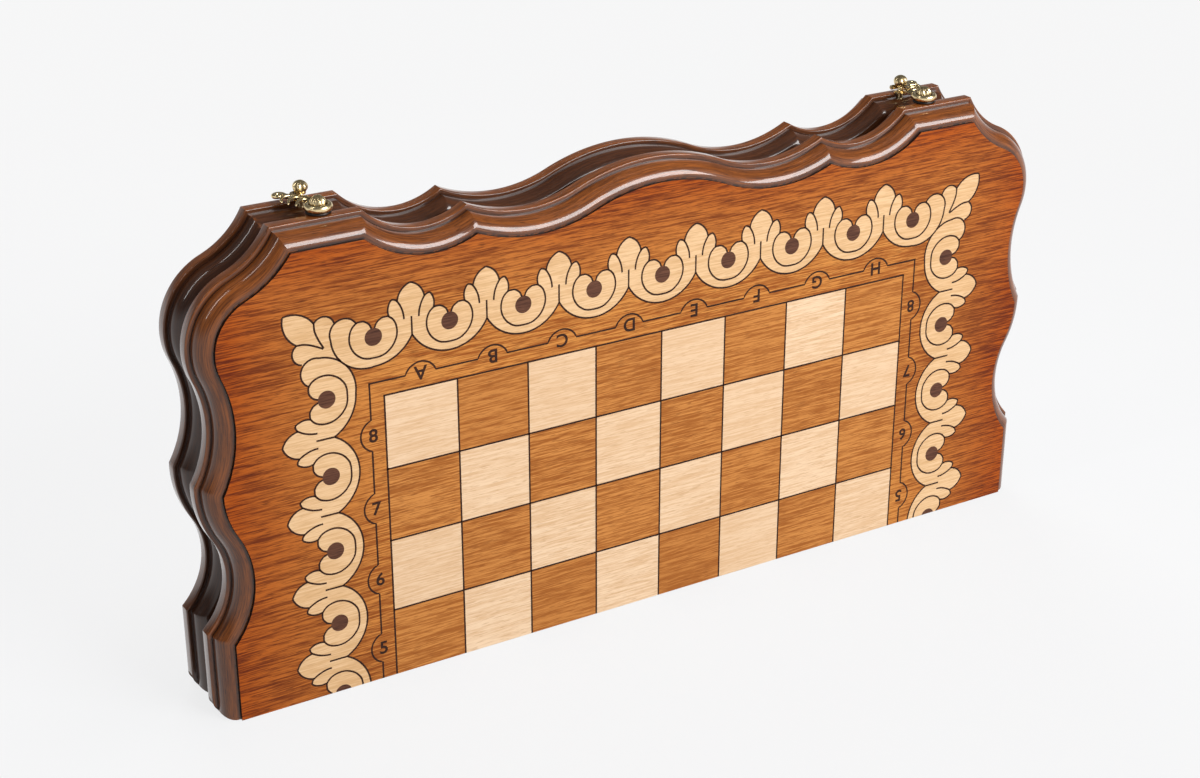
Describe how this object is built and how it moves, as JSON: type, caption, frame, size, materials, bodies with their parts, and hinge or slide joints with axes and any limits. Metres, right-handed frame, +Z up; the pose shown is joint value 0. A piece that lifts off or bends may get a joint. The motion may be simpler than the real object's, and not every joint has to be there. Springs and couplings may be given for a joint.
{
  "type": "folding chess and backgammon board",
  "caption": "Folding wooden game case with a scalloped moulded edge, half a chessboard inlaid on each outer face, a backgammon field inside and ornamental brass hook latches.",
  "frame": {"origin": "on the standing face, midway between the two leaves and midway along the fold", "axes": "+X along the fold to the right of the front face, +Y from the front leaf to the rear leaf, +Z up"},
  "size_m": [0.576, 0.0632, 0.2957],
  "materials": {
    "border_wood": "gloss lacquer",
    "light_wood": "gloss lacquer",
    "golden_wood": "gloss lacquer",
    "dot_wood": "gloss lacquer",
    "field_wood": "satin lacquer",
    "frame_wood": "gloss lacquer",
    "brass": "antique, polished high spots"
  },
  "bodies": {
    "front_leaf": {"front_chess_panel": "border_wood", "front_light_squares": "light_wood", "front_dark_squares": "golden_wood", "front_scroll_inlay": "light_wood", "front_scroll_dots": "dot_wood", "front_backgammon_panel": "field_wood", "front_light_points": "light_wood", "front_dark_points": "dot_wood", "front_top_rail": "frame_wood", "front_left_stile": "frame_wood", "front_right_stile": "frame_wood", "front_fold_rail": "frame_wood", "left_front_hinge_block": "brass", "left_front_hinge_pin": "brass", "left_washer": "brass", "left_pivot_screw": "brass", "right_front_hinge_block": "brass", "right_front_hinge_pin": "brass", "right_washer": "brass", "right_pivot_screw": "brass"},
    "hinge_links": {"left_hinge_link": "brass", "right_hinge_link": "brass"},
    "rear_leaf": {"rear_chess_panel": "border_wood", "rear_light_squares": "light_wood", "rear_dark_squares": "golden_wood", "rear_scroll_inlay": "light_wood", "rear_scroll_dots": "dot_wood", "rear_backgammon_panel": "field_wood", "rear_light_points": "light_wood", "rear_dark_points": "dot_wood", "rear_top_rail": "frame_wood", "rear_left_stile": "frame_wood", "rear_right_stile": "frame_wood", "rear_fold_rail": "frame_wood", "left_rear_hinge_block": "brass", "left_rear_hinge_pin": "brass", "left_keeper": "brass", "right_rear_hinge_block": "brass", "right_rear_hinge_pin": "brass", "right_keeper": "brass"},
    "left_hook": {"left_hook": "brass"},
    "right_hook": {"right_hook": "brass"}
  },
  "joints": [
    {"name": "link_fold", "type": "hinge", "parent": "front_leaf", "child": "hinge_links", "pos_m": [0, -0.0045, 0.00435], "axis": [-1, 0, 0], "range_deg": [0, 90]},
    {"name": "leaf_fold", "type": "hinge", "parent": "hinge_links", "child": "rear_leaf", "pos_m": [0, 0.0045, 0.00435], "axis": [-1, 0, 0], "range_deg": [0, 90]},
    {"name": "left_hook_turn", "type": "hinge", "parent": "front_leaf", "child": "left_hook", "pos_m": [-0.204, -0.0117, 0.2831], "axis": [0, 0, 1], "range_deg": [0, 100]},
    {"name": "right_hook_turn", "type": "hinge", "parent": "front_leaf", "child": "right_hook", "pos_m": [0.204, -0.0117, 0.2831], "axis": [0, 0, -1], "range_deg": [0, 100]}
  ]
}
